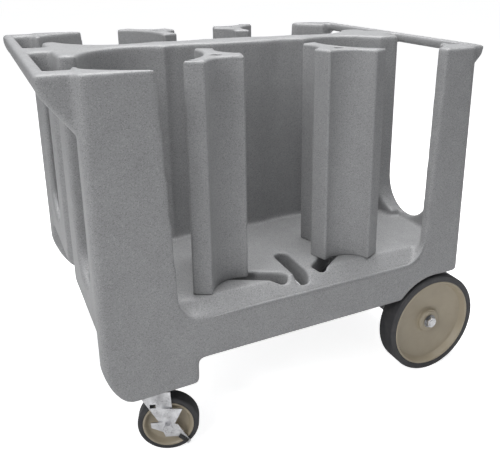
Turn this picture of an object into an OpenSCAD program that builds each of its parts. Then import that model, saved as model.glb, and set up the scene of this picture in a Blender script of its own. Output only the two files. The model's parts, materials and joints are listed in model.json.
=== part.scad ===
// Adjustable plate dispenser cart: a moulded body with six round plate bays, four towers
// that slide along slots in the deck, two large rear wheels and two swivel casters.
// Origin: middle of the footprint on the floor. -X is the caster end, +Z is up.

/* [Body] */
// Height of the top rim above the floor
body_h = 810; // [760:1:860]
// Width over the two sides
body_w = 730; // [700:1:770]
// Distance from the origin to the faces of the front posts
front_x = 432; // [424:1:446]
// Distance from the origin to the faces of the rear posts
rear_x = 436; // [430:1:448]
// Height of the top face of the deck
deck_z = 336; // [325:1:345]
// Drop from the deck to the side lips, where plates are lifted out
lip_drop = 32; // [24:1:40]
// Height of the lower edge of the side skirts
skirt_z = 214; // [205:1:225]
// Thickness of the double-walled deck
deck_t = 52; // [40:1:56]
// Wall thickness of the moulding
skin = 6; // [5:0.5:8]
// Radius of the upright corners in plan
corner_r = 14; // [10:1:20]
// Depth of the sloping strip between the deck and the side edge
lip_run = 37; // [28:1:45]
// Thickness of the side skirts
skirt_t = 45; // [35:1:55]

/* [Plate bays] */
// Distance between neighbouring bay centres along the cart
bay_pitch = 250; // [245:1:255]
// Offset of the middle bays from the origin
bay_x = -9; // [-14:1:-5]
// Half thickness of the spine where the end bays come nearest to the centre line
spine_end_half = 24; // [20:1:30]
// Radius of the recess in the spine beside an end bay
spine_r = 136; // [128:1:138]
// Radius of the recess in a corner post beside an end bay
post_r = 182; // [176:1:184]
// Least thickness of a corner post at the side of the cart
post_wall = 7; // [6.5:0.5:12]
// Half thickness of the spine beside the middle bays
spine_half = 44; // [38:1:50]
// Distance from the centre line to the spine's edge at the front end
gap_front_in = 130; // [110:1:140]
// Distance from the centre line to the spine's edge at the rear end
gap_rear_in = 99; // [90:1:120]
// Distance from the centre line to the posts' edges at both ends
gap_out = 268; // [255:1:275]
// Height of the round bottom of the end gaps above the deck
gap_rise = 13; // [10:1:40]

/* [Handles] */
// Distance from the origin to the outer face of the front handle
grip_front_x = 494; // [485:1:501]
// Distance from the origin to the outer face of the rear handle
grip_rear_x = 472; // [464:1:480]
// Width of a handle bar in plan
grip_w = 24; // [20:1:28]
// Height of the front handle bar
grip_h = 40; // [34:1:46]
// Height of the rear handle bar
grip_rear_h = 24; // [20:1:30]
// Distance from a side of the cart to the end of a handle bar
grip_inset = 19; // [13:1:29]
// Width of the gusset arms
arm_w = 46; // [36:1:52]
// Depth of the front gusset arms below the top rim
arm_drop = 112; // [95:1:125]
// Depth of the rear gusset arms below the top rim
arm_rear_drop = 57; // [45:1:70]
// Half width of the hub in the middle of a handle
hub_half = 38; // [30:1:46]

/* [Towers] */
// Height of the tower tops above the floor
tower_top = 813; // [765:1:865]
// Overall reach of a tower in plan
tower_reach = 190; // [184:1:194]
// Radius of the deep face that hugs an end bay
tower_face_r = 157; // [150:1:170]
// Radius of the two shallow faces
tower_side_r = 64; // [60:1:70]
// Radius of the hole in a tower's top
tower_hole_r = 11; // [9:0.5:13]
// Wall thickness of a tower
tower_skin = 5; // [4:0.5:6]
// Half width of the slots in the deck
slot_r = 16; // [13:1:18]
// Radius of the tie rods
rod_r = 5; // [4:0.5:6]

/* [Rear wheels] */
// Outer radius of a rear wheel
wheel_r = 127; // [120:1:130]
// Width of a rear wheel
wheel_w = 50; // [44:1:52]
// Distance from the rear post faces forward to the rear axle
axle_back = 69; // [65:1:75]
// Radius of the rear axle
axle_r = 8; // [7:0.5:10]
// Radial thickness of a rear tyre
tyre_t = 15; // [12:0.5:18]
// Radius of a rear hub's middle boss
boss_r = 30; // [26:1:34]

/* [Casters] */
// Radius of a caster wheel
caster_r = 63.5; // [60:0.5:66]
// Width of a caster wheel
caster_w = 32; // [28:1:36]
// Height of the casters' mounting faces above the top of their wheels
caster_rise = 31; // [28:1:39]
// Distance from the swivel axis back to the wheel axle
trail = 34; // [28:1:38]
// Distance from the front post faces back to the swivel axes
caster_back = 98; // [94:1:104]
// Distance from a side of the cart to the swivel axis
caster_inset = 53; // [51:1:57]
// Angle of the caster wheels from straight ahead
caster_turn = 21; // [0:1:30]
// Length of a caster's mounting plate
plate_l = 80; // [76:1:84]
// Width of a caster's mounting plate
plate_w = 64; // [58:1:68]

/* [Hidden] */
$fn = 64;
over = 20;
half_w = body_w / 2;
lip_z = deck_z - lip_drop;
under_z = deck_z - deck_t;
grip_half = half_w - grip_inset;
hex_share = 1 / sqrt(3);

// Centres of the round faces of the end bays
bay_y = spine_r + spine_end_half;
post_y = half_w - post_wall - post_r;

// Axes of the wheels
axle_x = rear_x - axle_back;
caster_x = front_x - caster_back;
caster_y = half_w - caster_inset;
caster_h = 2 * caster_r + caster_rise;

// Clearances
run_gap = 0.05;
slide_gap = 0.2;
side_gap = 0.3;
wheel_gap = 6;

// Ends of the body between the posts, set back from the post faces
front_inset = 5;
rear_inset = 18;
apron_front_x = front_x - front_inset;
apron_rear_x = rear_x - rear_inset;
apron_t = 16;
post_slant = 32;
post_face_w = 34;
post_shift = 12;

// Handle outline: lean of the lower outer face as a share of the bar's height, and depth of
// the handle's root in the body
grip_lean_share = 0.175;
grip_root = 20;

// Lower front curve of the body, a quarter of an ellipse
nose_run = 69;
nose_rise = 172;
nose_over = 11;
nose_steps = 12;

// Foot blocks that carry the casters
foot_rear = 92;
foot_rear_x = caster_x - foot_rear;
foot_bevel_x = 67;
foot_bevel_y = 73;
foot_edge = 12;

// Side openings between the posts, drawn in and wider at the top
post_front_top = 134;
post_front_low = 155;
post_rear_top = 89;
post_rear_low = 113;
open_low_rise = 59;
open_front_top = front_x - post_front_top;
open_front_low = front_x - post_front_low;
open_rear_top = rear_x - post_rear_top;
open_rear_low = rear_x - post_rear_low;
open_low_z = lip_z + open_low_rise;
open_corner_r = 56;
open_depth = 75;
open_steps = 8;

// Shallow groove down the middle of each end
groove_half = 42;
groove_d = 14;

// Half outline of the spine beside the middle bays, as shares of the bay pitch and of the
// spine's half thickness
spine_edge_shares = [[-0.72, 1.02], [-0.66, 0.84], [-0.44, 0.76], [-0.24, 1], [0.24, 1],
    [0.44, 0.76], [0.66, 0.84], [0.72, 1.02]];

// Slots in the deck: start from the middle bay's centre and the side, direction and length
slot_front_step = 30;
slot_rear_step = 70;
slot_mid_step = 17;
slot_front_edge = 43;
slot_rear_edge = 47;
slot_mid_edge = 34;
slot_front_start = [bay_x - slot_front_step, half_w - slot_front_edge];
slot_rear_start = [bay_x + slot_rear_step, half_w - slot_rear_edge];
slot_mid_start = [bay_x + slot_mid_step, half_w - slot_mid_edge];
slot_front_run = 166;
slot_rear_run = 130;
slot_mid_run = 95;
slot_front_turn = -150.8;
slot_rear_turn = -36.9;
slot_mid_turn = -90;

// Places of the towers along their slots, from the start of each slot
near_front_run = 125;
near_rear_run = 85;
far_front_run = 95;
far_rear_run = 60;

// Outline of a tower around its hole, as shares of its reach
tower_tip_shares = [[-0.479, -0.279], [-0.258, -0.379], [0.232, -0.2], [0.305, 0.037],
    [0.184, 0.526], [-0.047, 0.621]];
tower_tip_r = 7;
tower_floor_t = 6;
counterbore_d = 34;
rod_wall = 5;

// Tie rod fittings
rod_gap = 0.5;
top_washer_r = 10;
top_washer_t = 2;
nut_af = 17;
nut_h = 8;
rod_end = 12;
clamp_l = 50;
clamp_w = 46;
clamp_t = 6;

// Rear axle beam moulded across the underside
beam_x = 56;
beam_low = 32;
beam_edge = 16;
beam_gap = 6;
beam_end = half_w - wheel_w - beam_gap;
well_over = 4;
well_r = wheel_r + wheel_gap;
well_z = 2 * wheel_r + well_over;

// Rear wheel details
wheel_y0 = half_w - wheel_w;
tyre_edge = 4;
bead_h = 1.5;
web_in = 16;
web_t = 9;
web_dish = 6;
rim_t = 9;
boss_out = 38;
boss_step = 6;
boss_step_r = 22;
hub_bush_t = 4;
washer_r = 17;
washer_t = 2.5;
axle_nut_af = 24;
axle_nut_h = 8;
axle_tip = 1;
chamfer = 1.2;

// Caster details
plate_t = 3;
plate_corner = 8;
bolt_x = 30;
bolt_y = 22;
bolt_r = 4;
bolt_head_r = 6.5;
bolt_head_h = 4.5;
bolt_l = 26;
race_r = 24;
race_h = 9;
race_lip = 3;
crown_t = 4;
crown_r = 27;
leg_t = 3;
leg_gap = 2.5;
leg_top_front = 24;
leg_top_rear = 42;
leg_eye_r = 12;
window_x = -1;
window_rise = 46;
window_l = 12;
window_h = 9;
pin_r = 6;
pin_nut_h = 6;
tread_t = 11;
tread_edge = 5;
caster_web_t = 10;
caster_rim_t = 4;
caster_bead_h = 1;
caster_boss_r = 15;
sleeve_r = 8;
caster_bolt_r = 5;
caster_nut_af = 17;
caster_nut_h = 7;
pedal_t = 2.5;
pedal_eye_r = 13;
pedal_flange = 5;
pedal_l = 50;
pin_nut_r = 11;
pin_tip = 2;
rod_tip = 4;
rim_slope = 3;

// Outlines of the brake lever around the axle, as shares of its length
pedal_upper_shares = [[-0.24, 0.12], [0.26, 0.1], [0.62, 0.84], [-0.2, 0.92]];
pedal_lower_shares = [[-0.7, 0.24], [-0.68, 0], [-0.2, -0.24], [-0.12, -0.48], [0.16, -0.48],
    [0.4, -0.5], [0.78, -0.9], [0.9, -0.78], [0.4, 0.1], [0, 0.24]];
pedal_step_shares = [[0.72, -0.96], [0.78, -0.9], [0.9, -0.78], [0.84, -0.84]];
pedal_pad_shares = [[0.4, -0.5], [0.72, -0.82], [0.84, -0.7], [0.5, -0.38]];

body_gray = [0.55, 0.55, 0.555];
tan_hub = [0.56, 0.52, 0.44];
tyre_gray = [0.22, 0.22, 0.23];
zinc = [0.8, 0.8, 0.82];

function arc(c, r, a0, a1, n) =
    [for (i = [0:n]) c + r * [cos(a0 + (a1 - a0) * i / n), sin(a0 + (a1 - a0) * i / n)]];
function unit(v) = v / norm(v);
function heading(a) = [cos(a), sin(a)];

// Centre of a round face of radius r through two tips, on the right of the walk from p to q
function face_centre(p, q, r) =
    let (m = (p + q) / 2, d = unit(q - p), h = norm(q - p) / 2)
    m + sqrt(r * r - h * h) * [d[1], -d[0]];

module both_sides() {
    children();
    mirror([0, 1, 0]) children();
}

// Stand an outline drawn in X and Z up, from y0 to y1
module along_y(y0, y1) {
    translate([0, y1, 0]) rotate([90, 0, 0]) linear_extrude(y1 - y0) children();
}

// Stand an outline drawn in Y and Z up, from x0 to x1
module along_x(x0, x1) {
    translate([x0, 0, 0]) rotate([90, 0, 90]) linear_extrude(x1 - x0) children();
}

module between_z(z0, z1) {
    translate([0, 0, z0]) linear_extrude(z1 - z0) children();
}

module tube(r_out, r_in, h) {
    difference() {
        cylinder(r = r_out, h = h);
        translate([0, 0, -over]) cylinder(r = r_in, h = h + 2 * over);
    }
}

module hex_nut(af, h, bore) {
    difference() {
        cylinder(r = af * hex_share, h = h, $fn = 6);
        translate([0, 0, -over]) cylinder(r = bore, h = h + 2 * over);
    }
}

// Plan of the body, shrunk by g
module body_plan(g) {
    half = concat(
        [[-apron_front_x + g, 0], [-apron_front_x + g, -half_w + post_face_w + post_slant]],
        [[-front_x + g, -half_w + post_face_w]],
        arc([-front_x + corner_r, -half_w + corner_r], corner_r - g, 180, 270, 6),
        arc([rear_x - corner_r, -half_w + corner_r], corner_r - g, 270, 360, 6),
        [[rear_x - g, -half_w + post_face_w]],
        [[apron_rear_x - g, -half_w + post_face_w + post_slant], [apron_rear_x - g, 0]]);
    polygon(half);
    mirror([0, 1]) polygon(half);
}

// Side view of the body, shrunk by g
module body_side(g) {
    c = [-front_x - nose_over + nose_run, caster_h + nose_rise];
    nose = [for (i = [0:nose_steps])
        let (a = 180 + 90 * i / nose_steps)
        [c[0] + (nose_run - g) * cos(a), c[1] + (nose_rise - g) * sin(a)]];
    polygon(concat([[-front_x - nose_over + g, body_h - g]], nose,
        [[axle_x, caster_h + g], [axle_x, g], [rear_x - g, g], [rear_x - g, body_h - g]]));
}

module foot_plan(g) {
    polygon([[-front_x, -half_w], [-front_x + g, -half_w + post_face_w],
        [-front_x + foot_bevel_x + g, -half_w + post_face_w + foot_bevel_y - g],
        [-foot_rear_x - g, -half_w + post_face_w + foot_bevel_y - g], [-foot_rear_x - g, -half_w]]);
}

// Block under a front corner, with its rear lower edge rounded
module foot(g) {
    intersection() {
        between_z(caster_h + g, under_z + over) intersection() {
            foot_plan(g);
            body_plan(g);
        }
        along_y(-half_w, 0) polygon(concat(
            [[-front_x, body_h], [-front_x, caster_h + g]],
            arc([-foot_rear_x - foot_edge - g, caster_h + foot_edge + g], foot_edge, 270, 360, 4),
            [[-foot_rear_x - g, body_h]]));
    }
}

// Beam across the underside that carries the rear axle
module beam(g) {
    low = wheel_r - beam_low + g;
    left = axle_x - beam_x + g;
    right = apron_rear_x - g;
    along_y(-beam_end + g, beam_end - g) polygon([[left, deck_z - skin], [left, low + beam_edge],
        [left + beam_edge, low], [right - beam_edge, low], [right, low + beam_edge],
        [right, deck_z - skin]]);
}

// Round recess of an end bay: one arc in the spine, a wider one in the corner post
module end_bay_plan(x, wall_x, side, g) {
    translate([x, -bay_y]) circle(r = spine_r + g);
    intersection() {
        translate([x + side * post_shift, -post_y]) circle(r = post_r + g);
        translate([side > 0 ? x - post_r : -wall_x - g, -half_w - over])
            square([wall_x + g - side * x + post_r, half_w + over - bay_y + g]);
    }
}

module middle_bay_plan(g) {
    polygon(concat(
        [[bay_x - bay_pitch, -half_w - over], [bay_x - bay_pitch, -bay_y]],
        [for (s = spine_edge_shares) [bay_x + s[0] * bay_pitch, -s[1] * spine_half + g]],
        [[bay_x + bay_pitch, -bay_y], [bay_x + bay_pitch, -half_w - over]]));
}

module bays(g) {
    between_z(deck_z - g, body_h + over) {
        end_bay_plan(bay_x - bay_pitch, apron_front_x - apron_t, -1, g);
        end_bay_plan(bay_x + bay_pitch, apron_rear_x - apron_t, 1, g);
        middle_bay_plan(g);
    }
}

// Opening between the posts, down to the lip, with the deck's edge strip sloping to it
module side_opening(g) {
    low_l = [-open_front_low + open_corner_r, lip_z + open_corner_r];
    low_r = [open_rear_low - open_corner_r, lip_z + open_corner_r];
    intersection() {
        along_y(-half_w - over, -half_w + open_depth) polygon(concat(
            [[-open_front_top - g, body_h + over]], [[-open_front_low - g, open_low_z]],
            arc(low_l, open_corner_r + g, 180, 270, open_steps),
            arc(low_r, open_corner_r + g, 270, 360, open_steps),
            [[open_rear_low + g, open_low_z], [open_rear_top + g, body_h + over]]));
        along_x(-front_x, rear_x) polygon([[-half_w - over, lip_z - g], [-half_w, lip_z - g],
            [-half_w + lip_run, deck_z - g], [-half_w + open_depth, deck_z - g],
            [-half_w + open_depth, body_h + over], [-half_w - over, body_h + over]]);
    }
}

// See-through gap with a round bottom between the spine's end and a post
module end_gap(x0, x1, inner, g) {
    r = (gap_out - inner) / 2;
    translate([x0, -inner - r, deck_z + gap_rise + r]) {
        rotate([0, 90, 0]) cylinder(r = r + g, h = x1 - x0);
        translate([0, -r - g, 0]) cube([x1 - x0, 2 * (r + g), body_h]);
    }
}

// Room for a rear wheel, open to the rear
module wheel_well(g) {
    y0 = -half_w - over;
    len = half_w + over - beam_end + g;
    translate([axle_x, y0 + len, wheel_r]) rotate([90, 0, 0]) cylinder(r = well_r + g, h = len);
    translate([axle_x, y0, -over]) cube([rear_x, len, well_z + over + g]);
}

// A straight slot with round ends, from z0 to z1
module slot(start, turn, run, r, z0, z1) {
    translate([start[0], start[1], z0]) rotate([0, 0, turn]) {
        cylinder(r = r, h = z1 - z0);
        translate([run, 0, 0]) cylinder(r = r, h = z1 - z0);
        translate([0, -r, 0]) cube([run, 2 * r, z1 - z0]);
    }
}

// The three slots of the far half of the deck
module slots(g) {
    z0 = under_z - over - g;
    z1 = deck_z + over;
    slot(slot_front_start, slot_front_turn, slot_front_run, slot_r + g, z0, z1);
    slot(slot_rear_start, slot_rear_turn, slot_rear_run, slot_r + g, z0, z1);
    slot(slot_mid_start, slot_mid_turn, slot_mid_run, slot_r + g, z0, z1);
}

// Handle bar of height h, its two gusset arms and its middle hub, drawn for the front end
module handle(outer_x, face_x, apron_x, h, drop) {
    mid_z = body_h - h / 2;
    low_z = body_h - h;
    lean = h * grip_lean_share;
    root = -apron_x + grip_root;
    along_y(-grip_half, grip_half) polygon([[-outer_x, body_h], [-outer_x, mid_z],
        [-outer_x + lean, low_z], [-outer_x + grip_w, low_z], [-outer_x + grip_w, body_h]]);
    both_sides() along_y(-grip_half, -grip_half + arm_w) polygon([[-outer_x, body_h],
        [-outer_x, mid_z], [-outer_x + lean, low_z], [-face_x, body_h - drop],
        [root, body_h - drop], [root, body_h]]);
    along_y(-hub_half, hub_half) polygon([[-outer_x + grip_w / 2, body_h],
        [-outer_x + grip_w / 2, low_z], [-apron_x, low_z - h], [root, low_z - h], [root, body_h]]);
}

// Solid shape of the moulding, every wall moved in by g
module body_form(g) {
    difference() {
        union() {
            intersection() {
                union() {
                    between_z(skirt_z + g, body_h - g) body_plan(g);
                    both_sides() foot(g);
                }
                along_y(-half_w, half_w) body_side(g);
            }
            beam(g);
        }
        both_sides() {
            bays(g);
            side_opening(g);
            end_gap(-front_x - over, bay_x - bay_pitch, gap_front_in, g);
            end_gap(bay_x + bay_pitch, rear_x + over, gap_rear_in, g);
            wheel_well(g);
        }
        mirror([0, 1, 0]) slots(g);
        slots(g);
        under_hollow(g);
        translate([-front_x - over, -groove_half - g, 0])
            cube([over + front_inset + groove_d + g, 2 * (groove_half + g), body_h - 2 * grip_h + g]);
    }
}

// Space under the deck, between the skirts, the feet and the axle beam
module under_hollow(g) {
    back = axle_x - beam_x - g;
    difference() {
        translate([-front_x - over, -half_w + skirt_t - g, -over])
            cube([front_x + over + back + 2 * g, body_w - 2 * skirt_t + 2 * g, under_z + over + g]);
        both_sides() between_z(-over, under_z + 2 * over) foot_plan(g);
    }
}

// Bores for the rear axle and the caster bolts, or the solid columns around them
module fixing_bores(wall) {
    translate([axle_x, half_w, wheel_r]) rotate([90, 0, 0]) cylinder(r = axle_r + wall, h = body_w);
    both_sides() translate([-caster_x, caster_y, caster_h - over]) plate_bolt_places()
        cylinder(r = bolt_r + wall, h = over + bolt_l - plate_t + wall);
}

// The moulding is a closed double wall, empty inside
module body_shell() {
    color(body_gray) difference() {
        union() {
            body_form(0);
            handle(grip_front_x, front_x, apron_front_x, grip_h, arm_drop);
            mirror([1, 0, 0]) handle(grip_rear_x, rear_x, apron_rear_x, grip_rear_h, arm_rear_drop);
        }
        difference() {
            body_form(skin);
            fixing_bores(skin);
        }
        fixing_bores(0);
    }
}

// Outline of a tower around its hole, every wall moved in by g
module tower_plan(g) {
    tips = [for (s = tower_tip_shares) tower_reach * s];
    c = tower_tip_r;
    faces = [[tips[5], tips[0], tower_face_r], [tips[1], tips[2], tower_side_r],
        [tips[3], tips[4], tower_side_r]];
    difference() {
        polygon([for (i = [0:2])
            let (p = tips[2 * i], q = tips[2 * i + 1], d = unit(q - p), n = [d[1], -d[0]])
            each [p - (g + c) * n, p + c * d - g * n, q - c * d - g * n, q - (g + c) * n]]);
        for (f = faces) translate(face_centre(f[0], f[1], f[2])) circle(r = f[2] + g, $fn = 96);
    }
}

// Place of a tower: its run from the start of its slot, on the right-hand side of the cart
function tower_place(front, run) =
    (front ? slot_front_start : slot_rear_start) + run * heading(front ? slot_front_turn : slot_rear_turn);

// Carry a piece drawn around the hole of the left front tower to another corner
module at_tower(front, left, run) {
    p = tower_place(front, run);
    translate([p[0], left ? -p[1] : p[1], 0]) mirror([front ? 0 : 1, 0, 0])
        mirror([0, left ? 0 : 1, 0]) children();
}

module tower(front, left, run) {
    color(body_gray) at_tower(front, left, run) difference() {
        between_z(deck_z + slide_gap, tower_top) tower_plan(0);
        between_z(deck_z + tower_floor_t, tower_top - tower_skin) difference() {
            tower_plan(tower_skin);
            circle(r = tower_hole_r + rod_wall);
        }
        translate([0, 0, deck_z - over]) cylinder(r = rod_r + rod_gap, h = body_h);
        translate([0, 0, tower_top - counterbore_d]) cylinder(r = tower_hole_r, h = counterbore_d + over);
    }
}

module tie_rod(front, left, run) {
    low = under_z - slide_gap - clamp_t - nut_h - rod_end;
    high = tower_top - counterbore_d + top_washer_t + nut_h + rod_tip;
    color(zinc) at_tower(front, left, run) translate([0, 0, low]) cylinder(r = rod_r, h = high - low);
}

// Washer and nut at the bottom of the hole in a tower's top
module tower_top_nut(front, left, run) {
    color(zinc) at_tower(front, left, run) translate([0, 0, tower_top - counterbore_d]) {
        tube(top_washer_r, rod_r, top_washer_t);
        translate([0, 0, top_washer_t]) hex_nut(nut_af, nut_h, rod_r);
    }
}

// Plate that bridges the slot under the deck
module clamp_plate(front, left, run) {
    z0 = under_z - slide_gap - clamp_t;
    turn = front ? slot_front_turn : slot_rear_turn;
    p = tower_place(front, run);
    color(zinc) mirror([0, left ? 1 : 0, 0]) translate([p[0], p[1], z0]) rotate([0, 0, turn])
        difference() {
            translate([-clamp_l / 2, -clamp_w / 2, 0]) cube([clamp_l, clamp_w, clamp_t]);
            translate([0, 0, -over]) cylinder(r = rod_r, h = clamp_t + 2 * over);
        }
}

module clamp_nut(front, left, run) {
    color(zinc) at_tower(front, left, run) translate([0, 0, under_z - slide_gap - clamp_t - nut_h])
        hex_nut(nut_af, nut_h, rod_r);
}

// Local Z of a rear wheel runs outward along the axle from the wheel's inner face
module at_wheel(left) {
    mirror([0, left ? 1 : 0, 0]) translate([axle_x, wheel_y0, wheel_r]) rotate([-90, 0, 0]) children();
}

module rear_axle() {
    half = wheel_y0 + boss_out + side_gap + washer_t + axle_nut_h + axle_tip;
    color(zinc) translate([axle_x, half, wheel_r]) rotate([90, 0, 0]) cylinder(r = axle_r, h = 2 * half);
}

module rear_tyre(left) {
    r_in = wheel_r - tyre_t;
    w = wheel_w - bead_h;
    color(tyre_gray) at_wheel(left) rotate_extrude($fn = 128) polygon(concat([[r_in, 0]],
        arc([wheel_r - tyre_edge, tyre_edge], tyre_edge, 270, 360, 4),
        arc([wheel_r - tyre_edge, w - tyre_edge], tyre_edge, 0, 90, 4), [[r_in, w]]));
}

module rear_hub(left) {
    r_out = wheel_r - tyre_t;
    r_rim = r_out - rim_t;
    r_bush = axle_r + run_gap + hub_bush_t;
    color(tan_hub) at_wheel(left) rotate_extrude($fn = 128) polygon([[r_bush, 0], [boss_r, 0],
        [boss_r, web_in], [r_rim, web_in + web_dish], [r_rim, 0], [r_out, 0],
        [r_out, wheel_w - bead_h], [r_out - chamfer, wheel_w], [r_rim + chamfer, wheel_w],
        [r_rim, wheel_w - bead_h], [r_rim - rim_slope, web_in + web_t + web_dish],
        [boss_r + rim_slope, web_in + web_t], [boss_r, boss_out - boss_step],
        [boss_step_r + chamfer, boss_out - boss_step], [boss_step_r, boss_out], [r_bush, boss_out]]);
}

module rear_bush(left) {
    color(zinc) at_wheel(left) tube(axle_r + run_gap + hub_bush_t, axle_r + run_gap, boss_out);
}

// Spacer between the axle beam and the wheel
module rear_spacer(left) {
    len = wheel_y0 - beam_end - side_gap;
    color(zinc) at_wheel(left) translate([0, 0, -side_gap - len]) tube(washer_r, axle_r, len);
}

module rear_washer(left) {
    color(zinc) at_wheel(left) translate([0, 0, boss_out + side_gap]) tube(washer_r, axle_r, washer_t);
}

module rear_nut(left) {
    color(zinc) at_wheel(left) translate([0, 0, boss_out + side_gap + washer_t])
        hex_nut(axle_nut_af, axle_nut_h, axle_r);
}

// Heights of the caster's stack, from the mounting face down
plate_z = caster_h - plate_t;
race_z = plate_z - race_h;
crown_z = race_z - slide_gap - crown_t;
leg_y = caster_w / 2 + leg_gap;
outer_y = leg_y + leg_t;

// The caster's fixed pieces stay square to the body
module at_caster_plate(left) {
    translate([-caster_x, left ? -caster_y : caster_y, 0]) children();
}

// Local X of a caster's turning pieces runs from the swivel axis to the wheel's axle
module at_caster(left) {
    at_caster_plate(left) mirror([0, left ? 0 : 1, 0]) rotate([0, 0, -caster_turn]) children();
}

module at_caster_axle(left) {
    at_caster(left) translate([trail, 0, caster_r]) children();
}

module plate_bolt_places() {
    for (x = [-bolt_x, bolt_x], y = [-bolt_y, bolt_y]) translate([x, y, 0]) children();
}

module caster_plate(left) {
    c = plate_corner;
    color(zinc) at_caster_plate(left) difference() {
        between_z(plate_z, caster_h) {
            square([plate_l - 2 * c, plate_w], center = true);
            square([plate_l, plate_w - 2 * c], center = true);
            for (x = [-1, 1], y = [-1, 1])
                translate([x * (plate_l / 2 - c), y * (plate_w / 2 - c)]) circle(r = c);
        }
        plate_bolt_places() cylinder(r = bolt_r, h = caster_h + over);
        cylinder(r = pin_r, h = caster_h + over);
    }
}

module caster_plate_bolts(left) {
    color(zinc) at_caster_plate(left) plate_bolt_places() {
        translate([0, 0, plate_z - bolt_head_h]) cylinder(r = bolt_head_r, h = bolt_head_h, $fn = 6);
        translate([0, 0, plate_z]) cylinder(r = bolt_r, h = bolt_l);
    }
}

module caster_race(left) {
    color(zinc) at_caster_plate(left) translate([0, 0, race_z]) {
        tube(race_r, pin_r, race_h);
        translate([0, 0, race_h - race_lip]) tube(race_r + race_lip, pin_r, race_lip);
    }
}

module caster_kingpin(left) {
    z0 = crown_z - slide_gap - pin_nut_h - pin_tip;
    color(zinc) at_caster_plate(left) {
        translate([0, 0, z0]) cylinder(r = pin_r, h = caster_h - z0);
        translate([0, 0, crown_z - slide_gap - pin_nut_h]) cylinder(r = pin_nut_r, h = pin_nut_h, $fn = 6);
    }
}

module caster_fork(left) {
    color(zinc) difference() {
        union() {
            at_caster(left) between_z(crown_z, crown_z + crown_t) {
                circle(r = crown_r);
                translate([-leg_top_front, -outer_y]) square([leg_top_front + leg_top_rear, 2 * outer_y]);
            }
            for (y = [-outer_y, leg_y]) at_caster(left) along_y(y, y + leg_t) {
                polygon([[-leg_top_front, crown_z + crown_t], [trail - leg_eye_r, caster_r],
                    [trail + leg_eye_r, caster_r], [leg_top_rear, crown_z + crown_t]]);
                translate([trail, caster_r]) circle(r = leg_eye_r);
            }
        }
        at_caster(left) cylinder(r = pin_r + run_gap, h = body_h);
        at_caster_axle(left) translate([0, half_w, 0]) rotate([90, 0, 0])
            cylinder(r = caster_bolt_r, h = body_w);
        at_caster(left) along_y(-half_w, half_w)
            translate([window_x, caster_r + window_rise]) square([window_l, window_h]);
    }
}

// Draw a turned piece of a caster wheel around its axle, local Z along the axle
module caster_turned(left) {
    at_caster_axle(left) rotate([90, 0, 0]) rotate_extrude($fn = 96) children();
}

module caster_tread(left) {
    r_in = caster_r - tread_t;
    h = caster_w / 2;
    color(tyre_gray) caster_turned(left) polygon(concat([[r_in, -h]],
        arc([caster_r - tread_edge, -h + tread_edge], tread_edge, 270, 360, 4),
        arc([caster_r - tread_edge, h - tread_edge], tread_edge, 0, 90, 4), [[r_in, h]]));
}

module caster_hub(left) {
    r_out = caster_r - tread_t;
    r_rim = r_out - caster_rim_t;
    r_bore = sleeve_r + run_gap;
    h = caster_w / 2;
    half = [[caster_boss_r, h], [caster_boss_r, caster_web_t / 2], [r_rim, caster_web_t / 2], [r_rim, h],
        [r_rim + chamfer, h + caster_bead_h], [r_out, h + caster_bead_h]];
    color(tan_hub) caster_turned(left) polygon(concat([[r_bore, h]], half,
        [for (i = [len(half) - 1:-1:0]) [half[i][0], -half[i][1]]], [[r_bore, -h]]));
}

// Sleeve that the wheel turns on, clamped between the fork's legs
module caster_sleeve(left) {
    color(zinc) at_caster_axle(left) translate([0, leg_y, 0]) rotate([90, 0, 0])
        tube(sleeve_r, caster_bolt_r, 2 * leg_y);
}

// Room on the outer leg for the pedal, kept on both casters
pedal_y = outer_y + slide_gap;
bolt_out = pedal_y + pedal_t + slide_gap;

module caster_bolt(left) {
    len = bolt_out + outer_y + caster_nut_h + axle_tip;
    color(zinc) at_caster_axle(left) {
        translate([0, -bolt_out, 0]) rotate([-90, 0, 0]) cylinder(r = caster_bolt_r, h = len);
        translate([0, -bolt_out, 0]) rotate([90, 0, 0])
            cylinder(r = caster_nut_af * hex_share, h = caster_nut_h, $fn = 6);
    }
}

module caster_nut(left) {
    color(zinc) at_caster_axle(left) translate([0, outer_y, 0]) rotate([-90, 0, 0])
        hex_nut(caster_nut_af, caster_nut_h, caster_bolt_r);
}

module pedal_outline(shares) {
    polygon([for (s = shares) pedal_l * s]);
}

// Brake lever on the outer side of the left caster
module brake_pedal() {
    color(zinc) at_caster_axle(true) difference() {
        union() {
            along_y(-pedal_y - pedal_t, -pedal_y) {
                circle(r = pedal_eye_r);
                pedal_outline(pedal_upper_shares);
                pedal_outline(pedal_lower_shares);
            }
            along_y(-pedal_y - pedal_flange, -pedal_y) pedal_outline(pedal_step_shares);
        }
        translate([0, half_w, 0]) rotate([90, 0, 0])
            cylinder(r = caster_bolt_r + run_gap, h = body_w);
    }
}

module brake_pad() {
    color(tyre_gray) at_caster_axle(true) along_y(-pedal_y - pedal_flange, -pedal_y - pedal_t)
        pedal_outline(pedal_pad_shares);
}

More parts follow.
